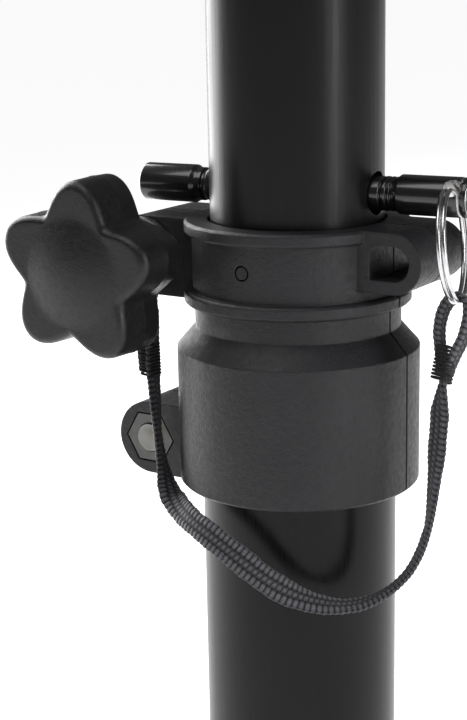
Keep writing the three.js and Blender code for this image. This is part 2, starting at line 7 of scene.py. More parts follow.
import bmesh
import bpy
import numpy as np
from bpy.props import FloatProperty, FloatVectorProperty, IntProperty, PointerProperty
from mathutils import Matrix, Vector
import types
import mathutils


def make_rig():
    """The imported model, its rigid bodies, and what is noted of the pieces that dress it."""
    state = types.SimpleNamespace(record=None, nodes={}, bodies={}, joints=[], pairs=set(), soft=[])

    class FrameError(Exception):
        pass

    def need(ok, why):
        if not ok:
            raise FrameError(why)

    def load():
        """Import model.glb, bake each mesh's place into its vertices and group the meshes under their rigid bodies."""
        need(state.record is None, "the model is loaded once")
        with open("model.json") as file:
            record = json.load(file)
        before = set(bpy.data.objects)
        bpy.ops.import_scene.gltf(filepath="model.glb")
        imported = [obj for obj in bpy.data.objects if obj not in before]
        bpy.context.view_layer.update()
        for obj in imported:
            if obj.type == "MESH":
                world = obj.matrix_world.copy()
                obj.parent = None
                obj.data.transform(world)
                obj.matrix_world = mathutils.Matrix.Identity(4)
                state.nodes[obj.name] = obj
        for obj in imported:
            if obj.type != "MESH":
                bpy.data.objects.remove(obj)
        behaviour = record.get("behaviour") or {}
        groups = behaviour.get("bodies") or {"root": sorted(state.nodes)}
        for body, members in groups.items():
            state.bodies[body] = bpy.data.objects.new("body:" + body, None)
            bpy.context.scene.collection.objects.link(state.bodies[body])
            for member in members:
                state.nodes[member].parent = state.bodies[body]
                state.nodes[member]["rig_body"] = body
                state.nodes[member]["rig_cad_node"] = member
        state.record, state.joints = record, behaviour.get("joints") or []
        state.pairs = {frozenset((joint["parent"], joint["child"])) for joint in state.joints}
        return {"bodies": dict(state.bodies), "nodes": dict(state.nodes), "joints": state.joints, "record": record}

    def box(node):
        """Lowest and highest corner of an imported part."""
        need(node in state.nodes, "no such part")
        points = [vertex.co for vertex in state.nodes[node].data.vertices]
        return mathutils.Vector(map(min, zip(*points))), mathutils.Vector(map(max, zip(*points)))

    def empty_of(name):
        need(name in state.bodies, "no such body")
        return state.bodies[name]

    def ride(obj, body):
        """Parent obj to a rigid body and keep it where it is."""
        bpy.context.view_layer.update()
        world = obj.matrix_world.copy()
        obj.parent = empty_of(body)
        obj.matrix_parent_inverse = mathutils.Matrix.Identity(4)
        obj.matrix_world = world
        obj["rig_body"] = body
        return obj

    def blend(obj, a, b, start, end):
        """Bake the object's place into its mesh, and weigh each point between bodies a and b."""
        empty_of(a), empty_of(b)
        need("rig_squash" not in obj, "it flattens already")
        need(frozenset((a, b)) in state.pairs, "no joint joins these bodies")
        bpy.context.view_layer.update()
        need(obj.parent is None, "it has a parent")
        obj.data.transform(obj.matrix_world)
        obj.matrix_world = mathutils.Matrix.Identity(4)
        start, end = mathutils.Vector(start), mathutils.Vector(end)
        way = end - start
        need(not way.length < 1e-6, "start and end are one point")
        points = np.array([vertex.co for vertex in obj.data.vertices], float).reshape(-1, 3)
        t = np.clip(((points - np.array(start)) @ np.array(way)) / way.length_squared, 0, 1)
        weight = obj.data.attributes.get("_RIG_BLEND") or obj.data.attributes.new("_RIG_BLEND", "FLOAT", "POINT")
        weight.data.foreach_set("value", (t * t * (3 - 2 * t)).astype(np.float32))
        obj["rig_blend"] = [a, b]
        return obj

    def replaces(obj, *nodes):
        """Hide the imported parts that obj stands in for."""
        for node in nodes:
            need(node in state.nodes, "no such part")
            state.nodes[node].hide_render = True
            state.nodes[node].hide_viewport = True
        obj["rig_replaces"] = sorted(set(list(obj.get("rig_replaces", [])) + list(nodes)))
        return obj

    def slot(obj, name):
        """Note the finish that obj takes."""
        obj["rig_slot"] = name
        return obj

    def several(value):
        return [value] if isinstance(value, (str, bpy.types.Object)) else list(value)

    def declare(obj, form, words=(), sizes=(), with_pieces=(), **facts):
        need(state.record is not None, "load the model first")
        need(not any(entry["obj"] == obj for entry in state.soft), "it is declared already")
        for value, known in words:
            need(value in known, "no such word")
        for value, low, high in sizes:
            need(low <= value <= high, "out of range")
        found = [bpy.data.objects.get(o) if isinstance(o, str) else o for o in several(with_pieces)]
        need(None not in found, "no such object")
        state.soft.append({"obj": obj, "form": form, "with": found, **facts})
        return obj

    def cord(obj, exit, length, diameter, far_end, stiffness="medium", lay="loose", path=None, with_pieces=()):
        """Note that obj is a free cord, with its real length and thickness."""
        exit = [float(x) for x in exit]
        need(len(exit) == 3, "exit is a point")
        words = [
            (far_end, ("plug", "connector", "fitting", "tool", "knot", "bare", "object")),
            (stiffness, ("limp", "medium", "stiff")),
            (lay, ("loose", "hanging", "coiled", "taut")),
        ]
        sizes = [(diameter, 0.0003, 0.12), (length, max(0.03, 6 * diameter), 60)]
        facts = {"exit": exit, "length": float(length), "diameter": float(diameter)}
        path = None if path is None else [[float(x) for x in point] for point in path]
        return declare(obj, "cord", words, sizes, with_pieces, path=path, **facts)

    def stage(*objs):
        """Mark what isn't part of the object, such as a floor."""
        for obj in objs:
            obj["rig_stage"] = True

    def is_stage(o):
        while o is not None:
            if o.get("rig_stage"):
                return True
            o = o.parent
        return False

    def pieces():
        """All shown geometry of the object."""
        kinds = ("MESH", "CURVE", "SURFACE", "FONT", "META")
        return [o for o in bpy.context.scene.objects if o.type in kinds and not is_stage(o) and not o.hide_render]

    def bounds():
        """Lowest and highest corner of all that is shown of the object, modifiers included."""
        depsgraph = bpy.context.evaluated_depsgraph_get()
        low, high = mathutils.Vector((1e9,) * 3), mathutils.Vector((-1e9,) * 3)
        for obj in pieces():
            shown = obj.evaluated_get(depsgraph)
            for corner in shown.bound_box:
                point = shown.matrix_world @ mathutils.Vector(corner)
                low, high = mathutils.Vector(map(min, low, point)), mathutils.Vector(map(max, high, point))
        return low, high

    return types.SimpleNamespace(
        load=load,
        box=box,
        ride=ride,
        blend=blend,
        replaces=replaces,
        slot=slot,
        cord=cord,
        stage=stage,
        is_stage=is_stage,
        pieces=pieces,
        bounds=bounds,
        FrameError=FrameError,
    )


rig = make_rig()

bl_info = {
    "name": "Speaker stand clamp",
    "version": (1, 0, 0),
    "blender": (4, 5, 0),
    "location": "View3D > Sidebar > Clamp",
    "description": "Builds the finish of a telescopic height clamp around its frame",
    "category": "Object",
}

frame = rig.load()
CAD_BOX = [list(corner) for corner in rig.bounds()]
NODES = frame["nodes"]
MM = 0.001


def node_box(name):
    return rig.box(name)


def joint(name):
    return next(j for j in frame["joints"] if j["name"] == name)


KNOB_POS = Vector(joint("knob_turn")["pos_m"])
RING_HINGE = Vector(joint("ring_swing")["pos_m"])
RING_AXIS = Vector(joint("ring_swing")["axis"]).normalized()
PIN_AXIS = Vector(joint("pin_pull")["axis"]).normalized()

# strap route, in metres: the same points as the frame's own tubes
STRAP_LEFT = [(x * MM, y * MM, z * MM) for x, y, z in (
    (-25.3, -14.8, 166), (-25.9, -14.9, 156), (-25.8, -15.2, 146), (-25.2, -15.6, 137),
    (-24.6, -15.9, 130), (-23.3, -16.4, 124), (-20.8, -18.0, 119.6), (-16.0, -21.4, 117.4),
    (-10.5, -24.6, 116.2), (-4.6, -26.6, 114.6), (1.5, -27.0, 111.6), (7.6, -25.9, 107.6),
    (13.0, -23.6, 104.4), (18.0, -20.2, 102.5), (22.6, -16.2, 102.2), (26.6, -12.4, 104.0),
    (29.8, -10.0, 107.6), (32.2, -9.2, 112.2), (33.8, -9.2, 116.6),
)]
STRAP_MIDDLE = [(x * MM, y * MM, z * MM) for x, y, z in (
    (33.92, -9.2, 117.0), (34.4, -9.2, 120.0), (34.8, -9.2, 123.5), (35.15, -9.15, 127.0),
    (35.4, -9.1, 130.0), (35.6, -9.05, 133.0), (35.8, -9.0, 136.0), (35.95, -8.95, 138.5),
    (36.1, -8.9, 141.0), (36.3, -8.8, 143.5), (36.45, -8.6, 146.0), (36.55, -8.2, 148.4),
)]
RING_TIE = Vector((0.0368, -0.0031, 0.1612))  # where the strap hangs on the ring
RING_TIE_LOW = Vector((0.03657, -0.0081, 0.1488))  # where its eye closes
STUD_LOOP_Y = -0.0148
STUD_LOOP_R = 0.0056


# ---------------------------------------------------------------- material tools
class Finish:
    """One node material: a principled shader and short helpers around it."""

    def __init__(self, name, colour, roughness, metallic=0.0, **sockets):
        self.material = bpy.data.materials.new(name)
        self.material.use_nodes = True
        self.tree = self.material.node_tree
        self.shader = self.tree.nodes["Principled BSDF"]
        self.set(Roughness=roughness, Metallic=metallic, **sockets)
        self.shader.inputs["Base Color"].default_value = (*colour, 1)
        self.colour = colour
        self.place = self.tree.nodes.new("ShaderNodeTexCoord").outputs["Object"]
        self.normal = None

    def set(self, **sockets):
        for key, value in sockets.items():
            self.shader.inputs[key.replace("_", " ")].default_value = value

    def add(self, kind, inputs=(), **settings):
        node = self.tree.nodes.new(kind)
        for key, value in settings.items():
            setattr(node, key, value)
        for socket, value in dict(inputs).items():
            target = node.inputs[socket]
            if isinstance(value, bpy.types.NodeSocket):
                self.tree.links.new(value, target)
            else:
                target.default_value = value
        return node

    def scaled(self, x, y, z):
        """The place in the object, stretched along each axis."""
        return self.add("ShaderNodeMapping", {"Vector": self.place, "Scale": (x, y, z)}).outputs[0]

    def noise(self, scale, detail=3.0, rough=0.5, place=None):
        return self.add("ShaderNodeTexNoise", {
            "Vector": place or self.place, "Scale": scale, "Detail": detail, "Roughness": rough,
        }).outputs["Fac"]

    def ramp(self, value, low, high, out_low=0.0, out_high=1.0):
        return self.add("ShaderNodeMapRange", {
            "Value": value, "From Min": low, "From Max": high, "To Min": out_low, "To Max": out_high,
        }).outputs[0]

    def maths(self, operation, a, b):
        return self.add("ShaderNodeMath", {0: a, 1: b}, operation=operation).outputs[0]

    def mix(self, factor, first, second):
        node = self.add("ShaderNodeMix", data_type="RGBA")
        for socket, value in ((0, factor), (6, first), (7, second)):
            if isinstance(value, bpy.types.NodeSocket):
                self.tree.links.new(value, node.inputs[socket])
            elif socket == 0:
                node.inputs[0].default_value = value
            else:
                node.inputs[socket].default_value = (*value, 1)
        return node.outputs[2]

    def paint(self, output):
        self.tree.links.new(output, self.shader.inputs["Base Color"])

    def rough(self, output):
        self.tree.links.new(output, self.shader.inputs["Roughness"])

    def bump(self, height, distance, strength=1.0):
        inputs = {"Height": height, "Distance": distance, "Strength": strength}
        if self.normal:
            inputs["Normal"] = self.normal
        self.normal = self.add("ShaderNodeBump", inputs).outputs[0]
        self.tree.links.new(self.normal, self.shader.inputs["Normal"])

    def rounded(self, radius):
        """Softens hard edges in the shading before any bump."""
        self.normal = self.add("ShaderNodeBevel", {"Radius": radius}, samples=6).outputs[0]
        self.tree.links.new(self.normal, self.shader.inputs["Normal"])


def tint(colour, factor):
    return tuple(c * factor for c in colour)


def tube_paint(name, colour, roughness, scuff):
    """Satin black powder paint on a drawn tube, with fine scuffs along it."""
    f = Finish(name, colour, roughness, Specular_IOR_Level=0.19)
    f.bump(f.noise(2600, 2), 0.00002, 0.35)
    f.bump(f.noise(420, 2), 0.00003, 0.25)
    streaks = f.noise(60, 5, 0.7, f.scaled(26, 26, 0.7))
    dust = f.ramp(f.noise(1500, 2), 0.72, 0.8)
    f.rough(f.ramp(streaks, 0.35, 0.7, roughness - scuff, roughness + scuff))
    worn = f.ramp(f.noise(35, 6, 0.75, f.scaled(30, 30, 1)), 0.6, 0.78, 0, 0.25)
    f.paint(f.mix(f.maths("MAXIMUM", worn, f.maths("MULTIPLY", dust, 0.25)), colour, tint(colour, 2.4)))
    return f.material


def moulded(name, colour, roughness, grain, edge=0.0):
    """Glass-filled nylon: spark-eroded grain, faint flow clouds and pale specks."""
    f = Finish(name, colour, roughness, Specular_IOR_Level=0.36)
    if edge:
        f.rounded(edge)
    f.bump(f.noise(2600, 3, 0.7), 0.00013 * grain, 0.8)
    f.bump(f.noise(900, 3), 0.00014 * grain, 0.6)
    clouds = f.noise(70, 4, 0.6)
    specks = f.ramp(f.noise(5200, 1), 0.66, 0.74)
    body = f.mix(f.ramp(clouds, 0.3, 0.7), tint(colour, 0.86), tint(colour, 1.16))
    f.paint(f.mix(f.maths("MULTIPLY", specks, 0.5), body, tint(colour, 3.0)))
    f.rough(f.ramp(f.noise(900, 3), 0.3, 0.7, roughness - 0.09, roughness + 0.1))
    return f.material


def plated(name, colour, roughness, cast=0.0, lines=1.0):
    """Zinc or nickel plate: fine lines, small stains, a little yellow in the film."""
    f = Finish(name, colour, roughness, 1.0)
    if lines > 0.5:
        f.rounded(0.00015)
    f.bump(f.noise(900, 3, 0.6, f.scaled(1, 8, 1)), 0.00002 * lines, 0.4)
    f.rough(f.ramp(f.noise(500, 4), 0.3, 0.7, roughness - 0.06, roughness + 0.12))
    stained = (colour[0], colour[1] * (1 - 0.1 * cast), colour[2] * (1 - 0.35 * cast))
    f.paint(f.mix(f.ramp(f.noise(180, 4), 0.45, 0.7), colour, tint(stained, 0.7)))
    return f.material


def gloss_black(name, colour, roughness):
    """Hard black gloss on the turned pin, with hairlines round it."""
    f = Finish(name, colour, roughness, Coat_Weight=0.5, Coat_Roughness=0.06)
    f.rounded(0.0002)
    f.bump(f.noise(240, 2), 0.00002, 0.3)
    hairs = f.ramp(f.noise(700, 4, 0.8, f.scaled(6, 1, 1)), 0.62, 0.75)
    f.rough(f.ramp(hairs, 0, 1, roughness, roughness + 0.2))
    f.paint(f.mix(f.maths("MULTIPLY", hairs, 0.35), colour, tint(colour, 3.5)))
    return f.material


def woven(name, colour, sheen):
    """Bulked black polyester: soft fibre noise, painted shade in the weave's hollows and painted glints on the crowns.
    """
    f = Finish(name, colour, 0.75, Sheen_Weight=sheen, Sheen_Roughness=0.45)
    f.shader.inputs["Sheen Tint"].default_value = (0.75, 0.75, 0.78, 1)
    fibres = f.noise(9000, 2, 0.6)
    f.bump(fibres, 0.00005, 0.8)
    crown = f.add("ShaderNodeAttribute", attribute_name="crown").outputs["Fac"]
    # painted glints: pale fibre specks kept to the raised crowns, where light strikes
    pale = f.maths("MULTIPLY", f.ramp(fibres, 0.36, 0.58), f.ramp(crown, 0.25, 0.95))
    # painted shade: the yarn darkened towards the weave's hollows, lighter on the crowns
    hollow_shade = f.mix(f.ramp(crown, 0.1, 0.6), tint(colour, 0.25), tint(colour, 1.3))
    f.paint(f.mix(f.maths("MULTIPLY", pale, 0.8), hollow_shade, tint(colour, 34.0)))
    f.rough(f.ramp(crown, 0, 1, 0.95, 0.5))
    return f.material


def pale_nylon(name, colour):
    f = Finish(name, colour, 0.42, Subsurface_Weight=0.05)
    f.bump(f.noise(1500, 3), 0.00004, 0.4)
    f.paint(f.mix(f.ramp(f.noise(90, 3), 0.3, 0.7), colour, tint(colour, 0.85)))
    return f.material


# ---------------------------------------------------------------- mesh tools
def new_object(name, verts, faces, material, smooth=True):
    mesh = bpy.data.meshes.new(name)
    mesh.from_pydata([tuple(v) for v in verts], [], faces)
    mesh.materials.append(material)
    for polygon in mesh.polygons:
        polygon.use_smooth = smooth
    obj = bpy.data.objects.new(name, mesh)
    bpy.context.scene.collection.objects.link(obj)
    return obj


def tidy_mesh(obj):
    """Consistent outward normals."""
    bm = bmesh.new()
    bm.from_mesh(obj.data)
    bmesh.ops.recalc_face_normals(bm, faces=bm.faces)
    bm.to_mesh(obj.data)
    bm.free()


def loft(name, rings, material):
    """A closed skin over rings of points, every ring with the same count."""
    count = len(rings[0])
    verts = [p for ring in rings for p in ring]
    faces = []
    for i in range(len(rings) - 1):
        for j in range(count):
            k = (j + 1) % count
            faces.append((i * count + j, i * count + k, (i + 1) * count + k, (i + 1) * count + j))
    for i in (0, len(rings) - 1):
        verts.append(sum((Vector(p) for p in rings[i]), Vector()) / count)
        hub = len(verts) - 1
        for j in range(count):
            faces.append((i * count + j, i * count + (j + 1) % count, hub))
    obj = new_object(name, verts, faces, material)
    tidy_mesh(obj)
    return obj


def catmull(points, t):
    """A point on a smooth line through the points, t in steps of one point."""
    i = min(int(t), len(points) - 2)
    f = t - i
    p1, p2 = points[i], points[i + 1]
    p0 = points[i - 1] if i else 2 * p1 - p2
    p3 = points[i + 2] if i + 2 < len(points) else 2 * p2 - p1
    return 0.5 * (2 * p1 + f * (p2 - p0) + f * f * (2 * p0 - 5 * p1 + 4 * p2 - p3)
                  + f ** 3 * (3 * p1 - p0 - 3 * p2 + p3))


def route(points, normals, step):
    """Even stations along the points: (place, face normal) pairs."""
    points = [Vector(p) for p in points]
    normals = [Vector(n).normalized() for n in normals]
    fine = [i / 24 for i in range(24 * (len(points) - 1) + 1)]
    line = [(catmull(points, t), catmull(normals, t)) for t in fine]
    lengths = [0.0]
    for a, b in zip(line, line[1:]):
        lengths.append(lengths[-1] + (b[0] - a[0]).length)
    count = max(4, round(lengths[-1] / step))
    out, k = [], 0
    for i in range(count + 1):
        at = lengths[-1] * i / count
        while k < len(lengths) - 2 and lengths[k + 1] < at:
            k += 1
        f = (at - lengths[k]) / max(lengths[k + 1] - lengths[k], 1e-9)
        out.append((line[k][0].lerp(line[k + 1][0], f), line[k][1].lerp(line[k + 1][1], f)))
    return out, lengths[-1]


def ribbon(name, points, normals, settings, material, start=0.0, width=None):
    """Woven strap along the points: flat section with rows of raised crowns across it."""
    stations, length = route(points, normals, settings.station)
    half_w, half_t = (width or settings.width) / 2, settings.thickness / 2
    sides, columns = 44, settings.columns
    rng = random.Random(len(points) * 7 + int(length * 1e5))
    sway = [rng.uniform(0, 6.28) for _ in range(3)]
    rings, crowns = [], []
    for i, (place, normal) in enumerate(stations):
        before, after = stations[max(0, i - 1)][0], stations[min(len(stations) - 1, i + 1)][0]
        forward = (after - before).normalized()
        normal = (normal - forward * normal.dot(forward)).normalized()
        side = forward.cross(normal)
        along = start + length * i / (len(stations) - 1)
        wide = half_w * (1 + 0.03 * math.sin(along * 700 + sway[0]) + 0.02 * math.sin(along * 1900 + sway[1]))
        cup = 0.12 * half_t * math.sin(along * 420 + sway[2])
        ring = []
        for j in range(sides):
            angle = 2 * math.pi * j / sides
            c, s = math.cos(angle), math.sin(angle)
            u = math.copysign(abs(c) ** 0.55, c)
            v = math.copysign(abs(s) ** 0.75, s)
            column = (u * 0.5 + 0.5) * columns
            phase = along / settings.pitch + 0.5 * (int(min(column, columns - 0.001)) % 2)
            if v < 0:
                phase += 0.25
            pick = abs(math.sin(math.pi * phase)) ** 0.7
            across = abs(math.sin(math.pi * column)) ** 0.35 if abs(s) > 0.25 else 0.8
            crown = pick * across
            out = settings.weave * (crown - 0.35)
            ring.append(place + side * (wide * u + (out * c if abs(s) < 0.6 else 0))
                        + normal * (half_t * v + out * s + cup * (1 - u * u)))
            crowns.append(crown)
        rings.append(ring)
    obj = loft(name, rings, material)
    values = crowns + [0.5, 0.5]
    obj.data.attributes.new("crown", "FLOAT", "POINT").data.foreach_set("value", values)
    return obj, [s[0] for s in stations], length


def lathe(name, profile, place, axis, sides, material):
    """Turned piece: (along, radius) pairs about an axis."""
    axis = axis.normalized()
    across = axis.orthogonal().normalized()
    third = axis.cross(across)
    rings = [[place + axis * x + (across * math.cos(a) + third * math.sin(a)) * r
              for a in (2 * math.pi * k / sides for k in range(sides))] for x, r in profile]
    return loft(name, rings, material)


def rounded_profile(points, radius, steps=4):
    """Small arcs at the inner corners of an open profile."""
    out = [points[0]]
    for before, here, after in zip(points, points[1:], points[2:]):
        b, h, a = Vector((*before, 0)), Vector((*here, 0)), Vector((*after, 0))
        cut = min(radius, 0.45 * (b - h).length, 0.45 * (a - h).length)
        p, q = h + (b - h).normalized() * cut, h + (a - h).normalized() * cut
        for k in range(steps + 1):
            t = k / steps
            w = p * (1 - t) ** 2 + h * 2 * t * (1 - t) + q * t * t
            out.append((w.x, w.y))
    return out + [points[-1]]


def cut(obj, *cutters):
    for cutter in cutters:
        m = obj.modifiers.new("cut", "BOOLEAN")
        m.operation, m.solver, m.object = "DIFFERENCE", "EXACT", cutter
        bpy.context.view_layer.update()
        mesh = bpy.data.meshes.new_from_object(obj.evaluated_get(bpy.context.evaluated_depsgraph_get()))
        obj.modifiers.clear()
        old, obj.data = obj.data, mesh
        bpy.data.meshes.remove(old)
        bpy.data.objects.remove(cutter)


def sharpen(obj, degrees):
    """Smooth shading that keeps the machined edges."""
    obj.data.shade_smooth()
    obj.data.set_sharp_from_angle(angle=math.radians(degrees))


def smooth_group(degrees):
    """Geometry nodes: join the faceted faces and shade them smooth up to an angle."""
    group = bpy.data.node_groups.new("smooth_skin", "GeometryNodeTree")
    group.interface.new_socket("Geometry", in_out="INPUT", socket_type="NodeSocketGeometry")
    group.interface.new_socket("Geometry", in_out="OUTPUT", socket_type="NodeSocketGeometry")
    add, link = group.nodes.new, group.links.new
    start, end = add("NodeGroupInput"), add("NodeGroupOutput")
    weld = add("GeometryNodeMergeByDistance")
    weld.inputs["Distance"].default_value = 0.00001
    faces = add("GeometryNodeSetShadeSmooth")
    faces.domain = "FACE"
    edges = add("GeometryNodeSetShadeSmooth")
    edges.domain = "EDGE"
    edges.inputs["Shade Smooth"].default_value = False
    angle = add("GeometryNodeInputMeshEdgeAngle")
    sharp = add("FunctionNodeCompare")
    sharp.operation = "GREATER_THAN"
    sharp.inputs[1].default_value = math.radians(degrees)
    link(start.outputs[0], weld.inputs["Geometry"])
    link(weld.outputs[0], faces.inputs["Geometry"])
    link(faces.outputs[0], edges.inputs["Geometry"])
    link(angle.outputs["Unsigned Angle"], sharp.inputs[0])
    link(sharp.outputs[0], edges.inputs["Selection"])
    link(edges.outputs[0], end.inputs[0])
    return group


def dress(name, material, group):
    """Gives a frame node its finish and smooth skin."""
    obj = NODES[name]
    obj.data.materials.clear()
    obj.data.materials.append(material)
    if group:
        obj.modifiers.new("smooth", "NODES").node_group = group


# ---------------------------------------------------------------- settings
class StrapSettings(bpy.types.PropertyGroup):
    width: FloatProperty(name="Width", description="Width of the woven strap", default=0.005, unit="LENGTH")
    thickness: FloatProperty(
        name="Thickness", description="Thickness of the woven strap",
        default=0.00115, unit="LENGTH")
    pitch: FloatProperty(
        name="Rib pitch", description="Distance between the ribs",
        default=0.00112, unit="LENGTH")
    weave: FloatProperty(
        name="Weave height", description="Height of the crowns",
        default=0.00026, unit="LENGTH")
    station: FloatProperty(
        name="Station", description="Distance between modelled sections",
        default=0.00017, unit="LENGTH")
    columns: IntProperty(name="Columns", description="Rows of crowns across the strap", default=3)
    colour: FloatVectorProperty(
        name="Colour", description="Yarn colour",
        default=(0.008, 0.008, 0.009), subtype="COLOR")


class KnobSettings(bpy.types.PropertyGroup):
    lobes: IntProperty(name="Lobes", description="Number of grips", default=5)
    tip: FloatProperty(
        name="Tip radius", description="Radius to the lobes' tips",
        default=0.0185, unit="LENGTH")
    valley: FloatProperty(
        name="Valley radius", description="Radius between the lobes",
        default=0.0131, unit="LENGTH")
    fillet: FloatProperty(
        name="Front fillet", description="Rounding of the front edge",
        default=0.0019, unit="LENGTH")
    dome: FloatProperty(
        name="Dome height", description="Rise of the front dome",
        default=0.0016, unit="LENGTH")
    turned: FloatProperty(
        name="Turned", description="Angle of the first lobe",
        default=math.radians(85), subtype="ANGLE")
    colour: FloatVectorProperty(
        name="Colour", description="Plastic colour",
        default=(0.013, 0.0125, 0.013), subtype="COLOR")


class PinSettings(bpy.types.PropertyGroup):
    radius: FloatProperty(name="Radius", description="Radius of the pin", default=0.0039, unit="LENGTH")
    waist: FloatProperty(
        name="Waist", description="Radius where it passes through the mast",
        default=0.0034, unit="LENGTH")
    hole: FloatProperty(
        name="Hole radius", description="Radius of the cross hole",
        default=0.0018, unit="LENGTH")
    hole_at: FloatProperty(
        name="Hole place", description="Cross hole from the mast's axis",
        default=0.0336, unit="LENGTH")
    colour: FloatVectorProperty(
        name="Colour", description="Colour of the black finish",
        default=(0.012, 0.012, 0.013), subtype="COLOR")


class RingSettings(bpy.types.PropertyGroup):
    radius: FloatProperty(
        name="Radius", description="Radius of the ring's centreline",
        default=0.0104, unit="LENGTH")
    wire: FloatProperty(
        name="Wire radius", description="Radius of the wire",
        default=0.00046, unit="LENGTH")
    pitch: FloatProperty(name="Pitch", description="Step from turn to turn", default=0.001, unit="LENGTH")
    turns: FloatProperty(name="Turns", description="Turns of wire", default=1.9)


class StageSettings(bpy.types.PropertyGroup):
    floor: FloatProperty(name="Floor", description="Diffuse grey of the floor", default=0.8)
    lift: FloatProperty(name="Lift", description="Brightness added to the floor as seen", default=0.87)
    key: FloatProperty(name="Key light", description="Power of the left softbox", default=16.0)
    side: FloatProperty(name="Side light", description="Power of the right softbox", default=3.6)
    top: FloatProperty(name="Top light", description="Power of the overhead light", default=3.0)
    world: FloatProperty(name="Surround", description="Grey of the surroundings", default=0.10)


# ---------------------------------------------------------------- operators
class CLAMP_OT_camera(bpy.types.Operator):
    """Place the camera that sees the clamp from the front and a little above"""
    bl_idname = "clamp.camera"
    bl_label = "Camera"

    def execute(self, context):
        data = bpy.data.cameras.new("camera")
        data.sensor_fit, data.sensor_height, data.lens = "VERTICAL", 36, 79.545
        data.clip_start = 0.01
        camera = bpy.data.objects.new("camera", data)
        context.scene.collection.objects.link(camera)
        camera.matrix_world = (
            Matrix.Translation((0.16063, -0.27293, 0.22494))
            @ Matrix.Rotation(math.radians(32.89), 4, "Z")
            @ Matrix.Rotation(math.radians(90 - 14.08), 4, "X")
            @ Matrix.Rotation(math.radians(-1.13), 4, "Z"))
        context.scene.camera = camera
        return {"FINISHED"}


